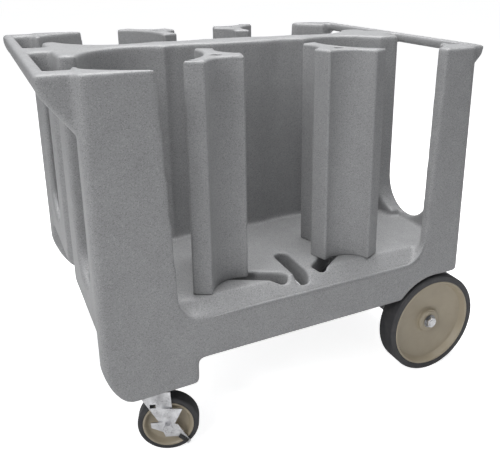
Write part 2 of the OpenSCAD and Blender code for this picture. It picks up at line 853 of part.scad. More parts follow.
body_shell();
tower(true, true, near_front_run);  // tower_left_front
tie_rod(true, true, near_front_run);  // tie_rod_left_front
tower_top_nut(true, true, near_front_run);  // top_nut_left_front
clamp_plate(true, true, near_front_run);  // clamp_plate_left_front
clamp_nut(true, true, near_front_run);  // clamp_nut_left_front
tower(false, true, near_rear_run);  // tower_left_rear
tie_rod(false, true, near_rear_run);  // tie_rod_left_rear
tower_top_nut(false, true, near_rear_run);  // top_nut_left_rear
clamp_plate(false, true, near_rear_run);  // clamp_plate_left_rear
clamp_nut(false, true, near_rear_run);  // clamp_nut_left_rear
tower(true, false, far_front_run);  // tower_right_front
tie_rod(true, false, far_front_run);  // tie_rod_right_front
tower_top_nut(true, false, far_front_run);  // top_nut_right_front
clamp_plate(true, false, far_front_run);  // clamp_plate_right_front
clamp_nut(true, false, far_front_run);  // clamp_nut_right_front
tower(false, false, far_rear_run);  // tower_right_rear
tie_rod(false, false, far_rear_run);  // tie_rod_right_rear
tower_top_nut(false, false, far_rear_run);  // top_nut_right_rear
clamp_plate(false, false, far_rear_run);  // clamp_plate_right_rear
clamp_nut(false, false, far_rear_run);  // clamp_nut_right_rear
rear_axle();
rear_tyre(true);  // rear_tyre_left
rear_hub(true);  // rear_hub_left
rear_bush(true);  // rear_bush_left
rear_spacer(true);  // rear_spacer_left
rear_washer(true);  // rear_washer_left
rear_nut(true);  // rear_nut_left
rear_tyre(false);  // rear_tyre_right
rear_hub(false);  // rear_hub_right
rear_bush(false);  // rear_bush_right
rear_spacer(false);  // rear_spacer_right
rear_washer(false);  // rear_washer_right
rear_nut(false);  // rear_nut_right
caster_plate(true);  // caster_plate_left
caster_plate_bolts(true);  // caster_plate_bolts_left
caster_race(true);  // caster_race_left
caster_kingpin(true);  // caster_kingpin_left
caster_fork(true);  // caster_fork_left
caster_tread(true);  // caster_tread_left
caster_hub(true);  // caster_hub_left
caster_sleeve(true);  // caster_sleeve_left
caster_bolt(true);  // caster_bolt_left
caster_nut(true);  // caster_nut_left
brake_pedal();
brake_pad();
caster_plate(false);  // caster_plate_right
caster_plate_bolts(false);  // caster_plate_bolts_right
caster_race(false);  // caster_race_right
caster_kingpin(false);  // caster_kingpin_right
caster_fork(false);  // caster_fork_right
caster_tread(false);  // caster_tread_right
caster_hub(false);  // caster_hub_right
caster_sleeve(false);  // caster_sleeve_right
caster_bolt(false);  // caster_bolt_right
caster_nut(false);  // caster_nut_right
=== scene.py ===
import json
import math

import bmesh
import bpy
from mathutils import Matrix, Vector


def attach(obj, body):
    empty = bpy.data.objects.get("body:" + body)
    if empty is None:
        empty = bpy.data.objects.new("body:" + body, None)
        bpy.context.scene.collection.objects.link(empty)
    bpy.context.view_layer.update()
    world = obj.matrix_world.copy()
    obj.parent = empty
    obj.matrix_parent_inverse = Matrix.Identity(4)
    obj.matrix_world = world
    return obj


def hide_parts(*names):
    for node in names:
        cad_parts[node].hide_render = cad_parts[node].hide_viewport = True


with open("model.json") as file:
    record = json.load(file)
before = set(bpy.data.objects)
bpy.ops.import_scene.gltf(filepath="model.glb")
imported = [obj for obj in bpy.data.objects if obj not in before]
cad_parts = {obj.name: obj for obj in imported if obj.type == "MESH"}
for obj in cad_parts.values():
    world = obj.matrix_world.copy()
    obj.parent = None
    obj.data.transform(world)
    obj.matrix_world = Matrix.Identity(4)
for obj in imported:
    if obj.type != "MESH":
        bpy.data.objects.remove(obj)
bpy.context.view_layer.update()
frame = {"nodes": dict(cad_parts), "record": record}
nodes = frame["nodes"]
coll = bpy.context.scene.collection


def box_of(node):
    """The two corners of a CAD piece's box."""
    sides = list(zip(*[v.co for v in nodes[node].data.vertices]))
    return Vector([min(s) for s in sides]), Vector([max(s) for s in sides])


def middle_of(node):
    """The middle of a CAD piece's box."""
    low, high = box_of(node)
    return (low + high) / 2


# Body and rear wheels, read off the CAD pieces, in metres
HALF_W = box_of("body_shell")[1].y
AXLE = middle_of("rear_axle")
AXLE_R = box_of("rear_axle")[1].x - AXLE.x
WHEEL_R = box_of("rear_tyre_right")[1].z - AXLE.z
WHEEL_FACE = box_of("rear_hub_right")[0].y
WHEEL_W = HALF_W - WHEEL_FACE
HUB_R = box_of("rear_hub_right")[1].z - AXLE.z
HUB_BORE_R = box_of("rear_bush_right")[1].z - AXLE.z
BOSS_OUT = box_of("rear_bush_right")[1].y - WHEEL_FACE
WASHER_R = box_of("rear_washer_right")[1].x - AXLE.x
WASHER_OUT = box_of("rear_washer_right")[0].y - WHEEL_FACE
NUT_OUT, NUT_END = (corner.y - WHEEL_FACE for corner in box_of("rear_nut_right"))
NUT_AF = 2 * (box_of("rear_nut_right")[1].z - AXLE.z)

# Casters: the swivel axis, and the wheel's axle that trails behind it
SWIVEL = middle_of("caster_kingpin_right")
CASTER_AXLE = middle_of("caster_sleeve_right")
CASTER_R = CASTER_AXLE.z
TRAIL = (CASTER_AXLE - SWIVEL).xy.length
TURN = math.atan2(CASTER_AXLE.y - SWIVEL.y, CASTER_AXLE.x - SWIVEL.x)

# Towers: place of the tie rod in plan, then how the outline is mirrored along x and y
TOWER_FOOT, TOWER_TOP = (corner.z for corner in box_of("tower_left_front"))
TOWERS = {}
for side_name, mirror_y in (("left", 1), ("right", -1)):
    for end_name, mirror_x in (("front", 1), ("rear", -1)):
        rod = middle_of(f"tie_rod_{side_name}_{end_name}")
        TOWERS[f"{side_name}_{end_name}"] = (rod.x, rod.y, mirror_x, mirror_y)
SIDES = (("left", -1), ("right", 1))

# Bead on the deck's side lip, which runs along the opening and up into its rear corner
LIP_Z = 0.304
LIP_START, LIP_END = -0.232, 0.323
LIP_CORNER_R = 0.056
BEAD_R, BEAD_THIN_SHARE = 0.0034, 0.3
BEAD_RISE, BEAD_SINK = 0.0004, 0.002

# Outline of a tower round its tie rod, with its tips as shares of its reach
TOWER_REACH = 0.190
TIP_SHARES = ((-0.479, -0.279), (-0.258, -0.379), (0.232, -0.2),
              (0.305, 0.037), (0.184, 0.526), (-0.047, 0.621))
TIP_R = 0.0085
SIDE_FACE_R, LONG_FACE_R = 0.064, 0.157
TOWER_TOP_R, TOWER_FOOT_R = 0.0065, 0.0025
TOWER_WALL_LOW, TOWER_WALL_HIGH = TOWER_FOOT + 0.01, TOWER_TOP - 0.02
WELL_R, WELL_DEPTH = 0.011, 0.034
ROD_BORE_R, ROD_BORE_DEPTH = 0.0055, 0.012
MOUTH = 0.0016

# Roundings and small steps that several pieces share
LIP_DEPTH = 0.0006
FINE, EASE, SOFT, LIP, FILLET = 0.0008, 0.001, 0.002, 0.003, 0.004
DRAFT, BEVEL = 0.0012, 0.0015
RIM_FACE, RIM_STEP = 0.0045, 0.0025

# Rear wheel: edge of the tread, radii of the hub, and heights from the hub's inner face
TYRE_EDGE_R = 0.0038
BOSS_R, STEP_R, RIM_R = 0.030, 0.022, 0.1035
BACK_AT_BOSS, BACK_AT_RIM = 0.017, 0.0225
DISH_AT_BOSS, DISH_AT_RIM = 0.0262, 0.0335
BOSS_FOOT, BOSS_EDGE = 0.0285, 0.036
STEP_EDGE, STEP_RISE = 0.0042, 0.0002
NUT_CORNER = 0.0002

# Caster wheel: tread, radii of the hub, and half thicknesses of its web
TREAD_HALF_W, TREAD_T, TREAD_EDGE_R = 0.016, 0.011, 0.0062
CASTER_BORE_R, CASTER_BOSS_R, CASTER_RIM_R = 0.00805, 0.015, 0.0475
WEB_AT_BOSS, WEB_AT_RIM = 0.0058, 0.0062

# Edges of the bent and cut metal, and corners of the clamp plates
FORK_EDGE, PLATE_EDGE, PEDAL_EDGE, PAD_EDGE = 0.0009, 0.0007, 0.0006, 0.0008
CLAMP_CORNER_R = 0.008
CLAMP_HOLE_CLEAR = 0.03

# Points nearer than this are one point, and an edge that leans less than this is upright
MERGE, UPRIGHT = 1e-6, 1e-5

# Depths of the grain, waves and clouds of surfaces, in metres
GRAIN, WAVES, CLOUDS = 0.0004, 0.0018, 0.0006

# Colours, as shares of light given back
GREY, FLECK_DARK, FLECK_LIGHT = (0.292, 0.294, 0.298), (0.215, 0.216, 0.22), (0.36, 0.36, 0.365)
TAN_DARK, TAN_LIGHT = (0.35, 0.302, 0.222), (0.4, 0.348, 0.262)
TYRE, TYRE_DUST = (0.036, 0.036, 0.039), (0.062, 0.06, 0.06)
# Pad: near-black, darker than the tyres; partly a rubber pad, partly painted shade on the brake lever's
# end
PAD_BLACK_AND_SHADE, PAD_DUST = (0.02, 0.02, 0.021), (0.04, 0.04, 0.04)
PAPER = (0.75, 0.75, 0.75, 1)
WHITE = (1, 1, 1, 1)
SKY = (0.93, 0.95, 1.0, 1)

# Camera, fitted to the photograph with the optical centre held nearer the middle than it is,
# so that views from other sides stay in frame: size of the photograph, focal length and
# optical centre in pixels, then the camera's turns in radians and its place in metres
PHOTO_W, PHOTO_H = 500, 474
FOCAL = 617.835
CENTRE_X, CENTRE_Y = 285.0, 157.0
YAW, PITCH, ROLL = 0.47656, 0.2978, 0.00409
EYE = (-0.58420, -1.39978, 0.97624)
SENSOR_W = 36.0

# Lights: place, aim, width and height in metres, then watts
LIGHTS = {
    "key": ((-2.6, -1.5, 2.3), (0, 0, 0.45), (1.6, 1.6), 52),
    "top": ((0.2, 0.3, 3.4), (0, 0, 0.4), (2.6, 2.2), 150),
    "fill": ((2.4, -2.6, 1.3), (0.1, 0, 0.4), (1.8, 1.6), 4),
}
FLOOR_HALF = 14
FLOOR_Z = -0.0005


# Materials; the scales of noise and cells count per metre
class Tree:
    """A small helper that adds nodes to one material and links them."""

    def __init__(self, name):
        self.mat = bpy.data.materials.new(name)
        self.mat.use_nodes = True
        self.nt = self.mat.node_tree
        self.bsdf = self.nt.nodes["Principled BSDF"]
        self.coord = self.nt.nodes.new("ShaderNodeTexCoord").outputs["Object"]

    def link(self, a, b):
        self.nt.links.new(a, b)

    def set(self, **values):
        """Give inputs of the surface a fixed value."""
        for key, value in values.items():
            self.bsdf.inputs[key.replace("_", " ")].default_value = value

    def noise(self, scale, detail, rough):
        """Soft noise in the piece's own space."""
        node = self.nt.nodes.new("ShaderNodeTexNoise")
        node.inputs["Scale"].default_value = scale
        node.inputs["Detail"].default_value = detail
        node.inputs["Roughness"].default_value = rough
        self.link(self.coord, node.inputs["Vector"])
        return node.outputs["Fac"]

    def cells(self, scale):
        """One random value for each small cell."""
        node = self.nt.nodes.new("ShaderNodeTexVoronoi")
        node.inputs["Scale"].default_value = scale
        self.link(self.coord, node.inputs["Vector"])
        parts = self.nt.nodes.new("ShaderNodeSeparateColor")
        self.link(node.outputs["Color"], parts.inputs["Color"])
        return parts.outputs["Red"]

    def ramp(self, fac, stops):
        """Greys or colours that follow a factor."""
        node = self.nt.nodes.new("ShaderNodeValToRGB")
        elements = node.color_ramp.elements
        while len(elements) < len(stops):
            elements.new(0.5)
        for element, (place, value) in zip(elements, stops):
            element.position = place
            element.color = (value, value, value, 1) if isinstance(value, (int, float)) else (*value, 1)
        self.link(fac, node.inputs["Fac"])
        return node.outputs["Color"]

    def mix(self, fac, a, b, mode="MIX"):
        """Two colours mixed by a factor, or multiplied."""
        node = self.nt.nodes.new("ShaderNodeMix")
        node.data_type = "RGBA"
        node.blend_type = mode
        for socket, value in ((node.inputs[0], fac), (node.inputs[6], a), (node.inputs[7], b)):
            if hasattr(value, "links"):
                self.link(value, socket)
            else:
                socket.default_value = value if isinstance(value, (int, float)) else (*value, 1)
        return node.outputs[2]

    def span(self, fac, low, high):
        """A factor spread from low to high."""
        node = self.nt.nodes.new("ShaderNodeMapRange")
        node.inputs["To Min"].default_value = low
        node.inputs["To Max"].default_value = high
        self.link(fac, node.inputs["Value"])
        return node.outputs["Result"]

    def bump(self, height, strength, distance, normal=None):
        """A normal bent by a height, on top of another one if it is given."""
        node = self.nt.nodes.new("ShaderNodeBump")
        node.inputs["Strength"].default_value = strength
        node.inputs["Distance"].default_value = distance
        self.link(height, node.inputs["Height"])
        if normal:
            self.link(normal, node.inputs["Normal"])
        return node.outputs["Normal"]

    def to(self, **outs):
        """Link outputs to inputs of the surface."""
        for key, out in outs.items():
            self.link(out, self.bsdf.inputs[key.replace("_", " ")])


def moulding():
    """Speckled grey polyethylene, lightly pebbled and scuffed."""
    tree = Tree("moulding_poly")
    fleck = tree.cells(760)
    dark = tree.ramp(fleck, [(0.0, 1.0), (0.14, 1.0), (0.17, 0.0), (1.0, 0.0)])
    light = tree.ramp(fleck, [(0.0, 0.0), (0.9, 0.0), (0.92, 1.0), (1.0, 1.0)])
    color = tree.mix(light, tree.mix(dark, GREY, FLECK_DARK), FLECK_LIGHT)
    patch = tree.noise(26, 4, 0.6)
    color = tree.mix(1.0, color, tree.ramp(patch, [(0.25, 0.94), (0.75, 1.05)]), "MULTIPLY")
    scuff = tree.noise(7, 3, 0.6)
    pebble = tree.noise(620, 2, 0.5)
    wave = tree.noise(9, 1, 0.5)
    normal = tree.bump(pebble, 0.2, GRAIN, tree.bump(wave, 0.25, WAVES))
    tree.to(Base_Color=color, Roughness=tree.span(scuff, 0.4, 0.56), Normal=normal)
    tree.set(IOR=1.47)
    return tree.mat


def hub_plastic():
    """Tan plastic, a little uneven."""
    tree = Tree("hub_tan")
    patch = tree.noise(30, 4, 0.6)
    color = tree.ramp(patch, [(0.2, TAN_DARK), (0.8, TAN_LIGHT)])
    normal = tree.bump(tree.noise(900, 1, 0.5), 0.14, GRAIN)
    tree.to(Base_Color=color, Roughness=tree.span(patch, 0.36, 0.5), Normal=normal)
    return tree.mat


def rubber(name, base, dusty):
    """Matt rubber with dust in patches."""
    tree = Tree(name)
    dust = tree.noise(55, 5, 0.65)
    color = tree.mix(tree.ramp(dust, [(0.45, 0.0), (0.75, 1.0)]), base, dusty)
    normal = tree.bump(tree.noise(1300, 2, 0.5), 0.25, GRAIN)
    tree.to(Base_Color=color, Roughness=tree.span(dust, 0.48, 0.66), Normal=normal)
    return tree.mat


def zinc(name, scale, dark, light):
    """Zinc plate: faint spangle, light and dark clouds and a cool tint; where the greys are spread
    wide, the clouds are partly painted shade.
    """
    tree = Tree(name)
    spangle = tree.cells(scale)
    # Clouds of lighter and darker zinc; on the sheet, with its wide spread of greys, they are partly
    # painted shade
    cloud_and_shade = tree.noise(60, 4, 0.6)
    color = tree.ramp(cloud_and_shade, [(0.25, (dark, dark, dark * 1.03)), (0.75, (light, light, light * 1.02))])
    color = tree.mix(0.12, color, tree.ramp(spangle, [(0.0, 0.45), (1.0, 0.95)]))
    normal = tree.bump(cloud_and_shade, 0.12, CLOUDS)
    tree.to(Base_Color=color, Roughness=tree.span(cloud_and_shade, 0.2, 0.38), Normal=normal)
    tree.set(Metallic=1.0)
    return tree.mat


MATERIALS = {
    "moulding": moulding(),
    "hub": hub_plastic(),
    "tyre": rubber("tyre_rubber_mat", TYRE, TYRE_DUST),
    "pad": rubber("pad_rubber_and_painted_shade_mat", PAD_BLACK_AND_SHADE, PAD_DUST),
    # Sheet zinc: its wide spread from dark to light clouds is partly zinc's own cloudiness, partly
    # painted shade for the shadowed gaps between fork, plate and lever
    "sheet": zinc("zinc_sheet_clouds_painted_shade_mat", 190, 0.42, 0.9),
    "steel": zinc("zinc_steel_mat", 420, 0.5, 0.76),
    "dull": zinc("zinc_dull_mat", 300, 0.16, 0.3),
}
SLOT_MATERIAL = {"moulding": "moulding", "hub_plastic": "hub", "tyre_rubber": "tyre",
                 "pad_rubber": "pad", "zinc_sheet": "sheet", "zinc_steel": "steel"}
slots = {s["node"]: s["material_slot"] for s in frame["record"]["subparts"]}
for name, ob in nodes.items():
    ob.data.materials.clear()
    ob.data.materials.append(MATERIALS[SLOT_MATERIAL[slots[name]]])


# Meshes
def piece(name, bm, mat, smooth_angle=35.0):
    """A new object from a bmesh, shaded smooth with sharp edges kept sharp."""
    bmesh.ops.remove_doubles(bm, verts=bm.verts, dist=MERGE)
    bmesh.ops.recalc_face_normals(bm, faces=bm.faces)
    me = bpy.data.meshes.new(name)
    bm.to_mesh(me)
    bm.free()
    ob = bpy.data.objects.new(name, me)
    coll.objects.link(ob)
    me.materials.append(mat)
    for face in me.polygons:
        face.use_smooth = True
    if smooth_angle:
        me.set_sharp_from_angle(angle=math.radians(smooth_angle))
    return ob


def apply_modifiers(ob):
    """Turn an object's modifiers into its mesh."""
    bpy.context.view_layer.update()
    depsgraph = bpy.context.evaluated_depsgraph_get()
    me = bpy.data.meshes.new_from_object(ob.evaluated_get(depsgraph))
    ob.modifiers.clear()
    old, ob.data = ob.data, me
    bpy.data.meshes.remove(old)


def shown(ob, body, replaces):
    """Let an object ride a body and stand for CAD pieces."""
    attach(ob, body)
    if replaces:
        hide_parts(*replaces)


def cad_copy(node):
    """A bmesh of a CAD piece with its points joined."""
    bm = bmesh.new()
    bm.from_mesh(nodes[node].data)
    bmesh.ops.remove_doubles(bm, verts=bm.verts, dist=MERGE)
    return bm


def flat_copy(node):
    """A bmesh of a CAD piece with each flat face whole."""
    bm = cad_copy(node)
    bmesh.ops.dissolve_limit(bm, angle_limit=math.radians(1.5), verts=bm.verts, edges=bm.edges)
    return bm


def outer_skin(node):
    """A bmesh of a CAD piece's outer skin, without the walls of its closed hollow."""
    bm = cad_copy(node)
    left = set(bm.verts)
    groups = []
    while left:
        seed = left.pop()
        group, stack = [seed], [seed]
        while stack:
            v = stack.pop()
            for e in v.link_edges:
                w = e.other_vert(v)
                if w in left:
                    left.remove(w)
                    group.append(w)
                    stack.append(w)
        length = max(v.co.x for v in group) - min(v.co.x for v in group)
        groups.append((length, group))
    skin = set(max(groups, key=lambda g: g[0])[1])
    bmesh.ops.delete(bm, geom=[v for v in bm.verts if v not in skin], context="VERTS")
    return bm


def rounded(rows, steps, room=0.49):
    """A closed outline from rows of two coordinates and the rounding of that corner. A
    rounding takes up no more than the share "room" of the sides next to it."""
    out = []
    points = [Vector(row[:2]) for row in rows]
    for i, p in enumerate(points):
        r = rows[i][2]
        if not r:
            out.append(p)
            continue
        a, b = points[i - 1] - p, points[(i + 1) % len(points)] - p
        longest = room * min(a.length, b.length)
        a.normalize()
        b.normalize()
        half = math.acos(a.dot(b)) / 2
        cut = min(r / math.tan(half), longest)
        r = cut * math.tan(half)
        centre = p + (a + b).normalized() * (r / math.sin(half))
        first, last = p + a * cut - centre, p + b * cut - centre
        for k in range(steps + 1):
            out.append(centre + first.lerp(last, k / steps).normalized() * r)
    return out


def bridge(bm, ring, other):
    """Faces between two closed rings with as many points."""
    n = len(ring)
    for i in range(n):
        j = (i + 1) % n
        bm.faces.new((ring[i], ring[j], other[j], other[i]))


def turns(n):
    """The angles of n even steps round a circle."""
    return [2 * math.pi * k / n for k in range(n)]


def lathe(profile, place, segments):
    """Turn a closed profile of (radius, height) round the local Z axis and place it."""
    bm = bmesh.new()
    rings = []
    for a in turns(segments):
        rings.append([bm.verts.new(place @ Vector((r * math.cos(a), r * math.sin(a), h)))
                      for r, h in profile])
    for ring, other in zip(rings, rings[1:] + rings[:1]):
        bridge(bm, ring, other)
    return bm


# Moulded body
def body():
    """The CAD moulding with all its edges rolled over."""
    voxel, rounds = ((0.004, 22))
    ob = piece("body_moulding", outer_skin("body_shell"), MATERIALS["moulding"], None)
    remesh = ob.modifiers.new("remesh", "REMESH")
    remesh.mode = "VOXEL"
    remesh.voxel_size = voxel
    remesh.use_smooth_shade = True
    soften = ob.modifiers.new("soften", "SMOOTH")
    soften.factor = 0.5
    soften.iterations = rounds
    apply_modifiers(ob)
    shown(ob, "body", ("body_shell",))


def lip_path():
    """The run of the lip bead in x and z: a straight, then an arc up the rear corner."""
    straight, bend, sweep = 40, 28, math.radians(84)
    corner_x, corner_z = LIP_END - LIP_CORNER_R, LIP_Z + LIP_CORNER_R
    path = [(LIP_START + (corner_x - LIP_START) * k / straight, LIP_Z) for k in range(straight + 1)]
    for k in range(1, bend + 1):
        a = sweep * k / bend
        path.append((corner_x + LIP_CORNER_R * math.sin(a), corner_z - LIP_CORNER_R * math.cos(a)))
    return path


def lip_bead(name, side):
    """The small rounded rim along the edge of the deck, thinner towards its ends."""
    path = lip_path()
    last = len(path) - 1
    fade_in, fade_out = 8, 10
    out = Vector((0, side, 0))
    bm = bmesh.new()
    rings = []
    for i, (x, z) in enumerate(path):
        p, q = path[max(i - 1, 0)], path[min(i + 1, last)]
        along = Vector((q[0] - p[0], 0, q[1] - p[1])).normalized()
        up = Vector((-along.z, 0, along.x))
        fade = min(1.0, i / fade_in, (last - i) / fade_out)
        r = BEAD_R * (BEAD_THIN_SHARE + (1 - BEAD_THIN_SHARE) * math.sqrt(fade))
        centre = Vector((x, side * (HALF_W - BEAD_R), z)) + up * (BEAD_RISE - BEAD_SINK * (1 - fade))
        rings.append([bm.verts.new(centre + up * (r * math.sin(a)) + out * (r * math.cos(a)))
                      for a in turns(10)])
    for ring, other in zip(rings, rings[1:]):
        bridge(bm, ring, other)
    for ring in (rings[0], rings[-1]):
        bm.faces.new(ring)
    shown(piece("lip_bead_" + name, bm, MATERIALS["moulding"]), "body", ())


body()
for name, side in SIDES:
    lip_bead(name, side)


# Divider towers
def tower_outline():
    """Rounded plan of a tower round its hole: three blunt tips and, from each to the next, a
    concave face."""
    tips = [Vector(share) * TOWER_REACH for share in TIP_SHARES]
    steps = 16
    rows = []
    for i, r in enumerate((SIDE_FACE_R, SIDE_FACE_R, LONG_FACE_R)):
        a, p, q = tips[2 * i], tips[2 * i + 1], tips[(2 * i + 2) % len(tips)]
        rows.append((*a, TIP_R))
        rows.append((*p, TIP_R))
        along, half = (q - p).normalized(), (q - p).length / 2
        centre = (p + q) / 2 + math.sqrt(r * r - half * half) * Vector((along.y, -along.x))
        start = math.atan2(p.y - centre.y, p.x - centre.x)
        end = math.atan2(q.y - centre.y, q.x - centre.x)
        turn = (end - start + math.pi) % (2 * math.pi) - math.pi
        for k in range(1, steps):
            t = start + turn * k / steps
            rows.append((centre.x + r * math.cos(t), centre.y + r * math.sin(t), 0))
    return rounded(rows, 8, 0.8)


def offset_inward(points, gap):
    """A closed outline with every point moved in by a gap."""
    out = []
    for i, p in enumerate(points):
        along = (points[(i + 1) % len(points)] - points[i - 1]).normalized()
        out.append(p + gap * Vector((-along.y, along.x)))
    return out


def tower_levels():
    """How far the outline is drawn in at each height: soft foot, plain wall, soft top."""
    foot_steps, wall_steps, top_steps = 4, 8, 7
    wall = TOWER_WALL_HIGH - TOWER_WALL_LOW
    levels = []
    for k in range(foot_steps + 1):
        a = math.radians(90 * (1 - k / foot_steps))
        inset, rise = TOWER_FOOT_R * (1 - math.cos(a)), TOWER_FOOT_R * (1 - math.sin(a))
        levels.append((inset, TOWER_FOOT + rise))
    for k in range(1, wall_steps):
        levels.append((0, TOWER_WALL_LOW + wall * k / wall_steps))
    for k in range(top_steps + 1):
        a = math.radians(90 * k / top_steps)
        inset, drop = TOWER_TOP_R * (1 - math.cos(a)), TOWER_TOP_R * (1 - math.sin(a))
        levels.append((inset, TOWER_TOP - drop))
    return levels


def hole(bm, ring, x, y, z, r, depth):
    """Close an end with a flat face that has a round hole with a soft mouth. The hole ends at
    the rod's bore."""
    def circle(radius, level):
        return [bm.verts.new((x + radius * math.cos(a), y + radius * math.sin(a), level))
                for a in turns(40)]

    inner = circle(r + MOUTH, z)
    edges = []
    for loop in (ring, inner):
        for a, b in zip(loop, loop[1:] + loop[:1]):
            edges.append(bm.edges.get((a, b)) or bm.edges.new((a, b)))
    bmesh.ops.triangle_fill(bm, use_beauty=True, use_dissolve=False, edges=edges)
    for radius, share in ((r + EASE / 2, 0.02), (r, 0.06), (r, 1), (ROD_BORE_R, 1)):
        deeper = circle(radius, z + depth * share)
        bridge(bm, inner, deeper)
        inner = deeper
    return inner


def tower(key):
    """One tower with soft edges, a nut well in its top and a bore for the tie rod."""
    x, y, mirror_x, mirror_y = TOWERS[key]
    outline = tower_outline()
    bm = bmesh.new()
    rings = []
    for gap, z in tower_levels():
        rings.append([bm.verts.new((x + mirror_x * p.x, y + mirror_y * p.y, z))
                      for p in offset_inward(outline, gap)])
    for ring, other in zip(rings, rings[1:]):
        bridge(bm, ring, other)
    well = hole(bm, rings[-1], x, y, TOWER_TOP, WELL_R, -WELL_DEPTH)
    foot = hole(bm, rings[0], x, y, TOWER_FOOT, ROD_BORE_R, ROD_BORE_DEPTH)
    bridge(bm, well, foot)
    ob = piece("tower_moulding_" + key, bm, MATERIALS["moulding"], 50)
    shown(ob, "tower_" + key, ("tower_" + key,))


for key in TOWERS:
    tower(key)


# Rear wheels
def wheel_place(side, out=0):
    """Local Z runs outward along the rear axle, from "out" beyond the wheel's inner face."""
    inner = Matrix.Translation((AXLE.x, side * WHEEL_FACE, AXLE.z))
    return inner @ Matrix.Rotation(math.radians(-90 * side), 4, "X") @ Matrix.Translation((0, 0, out))


def tread_rows(inner_r, outer_r, start, end, lip, edge_r):
    """Flat tread with rounded shoulders and a small bevel where it meets the hub."""
    return [(inner_r, start + LIP_DEPTH, 0), (inner_r + lip, start, 0), (outer_r, start, edge_r),
            (outer_r, end, edge_r), (inner_r + lip, end, 0), (inner_r, end - LIP_DEPTH, 0)]


def rear_hub_rows():
    """Half section of the dished hub: inner face from boss to rim, then outer face back."""
    return [
        (HUB_BORE_R, 0, 0),
        (BOSS_R, 0, EASE),
        (BOSS_R + DRAFT, BACK_AT_BOSS, FILLET),
        (RIM_R - FILLET, BACK_AT_RIM, FILLET),
        (RIM_R, 0, EASE),
        (HUB_R, 0, EASE / 2),
        (HUB_R, WHEEL_W - BEVEL, FINE),
        (HUB_R - DRAFT, WHEEL_W, FINE),
        (RIM_R + RIM_FACE, WHEEL_W, 2 * FINE),
        (RIM_R + RIM_STEP, WHEEL_W - LIP, DRAFT),
        (RIM_R - LIP, DISH_AT_RIM, RIM_FACE),
        (BOSS_R + FILLET, DISH_AT_BOSS, LIP),
        (BOSS_R, BOSS_FOOT, SOFT),
        (BOSS_R - EASE, BOSS_EDGE, SOFT),
        (STEP_R + STEP_EDGE, BOSS_EDGE + STEP_RISE, FINE),
        (STEP_R + LIP, BOSS_OUT, EASE),
        (HUB_BORE_R, BOSS_OUT, 0),
    ]


def washer(name, place):
    """Flat washer with a bevelled rim, local Z from its seat outward."""
    thick, edge = NUT_OUT - WASHER_OUT, LIP_DEPTH
    profile = [(AXLE_R, 0), (WASHER_R - edge, 0), (WASHER_R, edge), (WASHER_R, thick - edge),
               (WASHER_R - edge, thick), (AXLE_R + edge, thick), (AXLE_R, thick - edge)]
    ob = piece(name + "_v", lathe(profile, place, 64), MATERIALS["dull"], 40)
    shown(ob, "body", (name,))


def hex_nut(name, place):
    """Hex nut with chamfered corners, local Z from its seat outward."""
    segments, height, sixth = 48, NUT_END - NUT_OUT, math.pi / 3
    flat, corner = NUT_AF / 2, NUT_AF / math.sqrt(3)
    lead = AXLE_R * 0.12
    outside = ((0, flat + NUT_CORNER), (height * 0.1, corner), (height * 0.88, corner),
               (height, flat + NUT_CORNER))
    inside = ((height, AXLE_R + lead), (height - lead, AXLE_R), (lead, AXLE_R), (0, AXLE_R + lead))
    bm = bmesh.new()

    def ring(z, reaches):
        return [bm.verts.new(place @ Vector((r * math.cos(a), r * math.sin(a), z)))
                for a, r in zip(turns(segments), reaches)]

    hexagon = [flat / math.cos((a + sixth / 2) % sixth - sixth / 2) for a in turns(segments)]
    rings = [ring(z, [min(r, most) for r in hexagon]) for z, most in outside]
    rings += [ring(z, [r] * segments) for z, r in inside]
    for one, other in zip(rings, rings[1:] + rings[:1]):
        bridge(bm, one, other)
    shown(piece(name + "_v", bm, MATERIALS["steel"], 30), "body", (name,))


def rear_wheel(name, side):
    """Tyre and hub that turn, with the washer and nut that stay on the axle."""
    wheel, place = "rear_wheel_" + name, wheel_place(side)
    tyre = rounded(tread_rows(HUB_R, WHEEL_R, 0, WHEEL_W, BEVEL, TYRE_EDGE_R), 8)
    ob = piece("rear_tyre_" + name + "_v", lathe(tyre, place, 160), MATERIALS["tyre"], 40)
    shown(ob, wheel, ("rear_tyre_" + name,))
    ob = piece("rear_hub_" + name + "_v", lathe(rounded(rear_hub_rows(), 5), place, 160),
               MATERIALS["hub"], 40)
    shown(ob, wheel, ("rear_hub_" + name,))
    washer("rear_washer_" + name, wheel_place(side, WASHER_OUT))
    hex_nut("rear_nut_" + name, wheel_place(side, NUT_OUT))


for name, side in SIDES:
    rear_wheel(name, side)


# Casters
def axle_place(side):
    """Local Z runs along the caster wheel's axle, from its middle."""
    c, s = math.cos(TURN), math.sin(TURN)
    trailing = Matrix(((c, side * s, 0), (s, -side * c, 0), (0, 0, 1))).transposed().to_4x4()
    swivel = Matrix.Translation((SWIVEL.x, side * SWIVEL.y, 0)) @ trailing
    quarter = Matrix.Rotation(math.radians(90), 4, "X")
    return swivel @ Matrix.Translation((TRAIL, 0, CASTER_R)) @ quarter


def caster_hub_rows():
    """Section of the caster's hub, the same on both sides of its middle."""
    w = TREAD_HALF_W
    half = [
        (CASTER_BORE_R, w, 0),
        (CASTER_BOSS_R - BEVEL, w, LIP_DEPTH),
        (CASTER_BOSS_R, w - SOFT, EASE),
        (CASTER_BOSS_R + EASE / 2, WEB_AT_BOSS, LIP),
        (CASTER_RIM_R - RIM_FACE, WEB_AT_RIM, FILLET),
        (CASTER_RIM_R, w - EASE, EASE),
        (CASTER_RIM_R + SOFT, w + EASE, FINE),
        (CASTER_R - TREAD_T, w + EASE, FINE),
    ]
    return half + [(r, -h, edge) for r, h, edge in reversed(half)]


def softened(name, source, mat, width, body_name):
    """A copy of a flat or bent CAD piece with its edges rolled over."""
    ob = piece(name, flat_copy(source), mat, 30)
    edges = ob.modifiers.new("edges", "BEVEL")
    edges.width = width
    edges.segments = 3
    edges.limit_method = "ANGLE"
    edges.angle_limit = math.radians(40)
    edges.harden_normals = True
    apply_modifiers(ob)
    shown(ob, body_name, (source,))


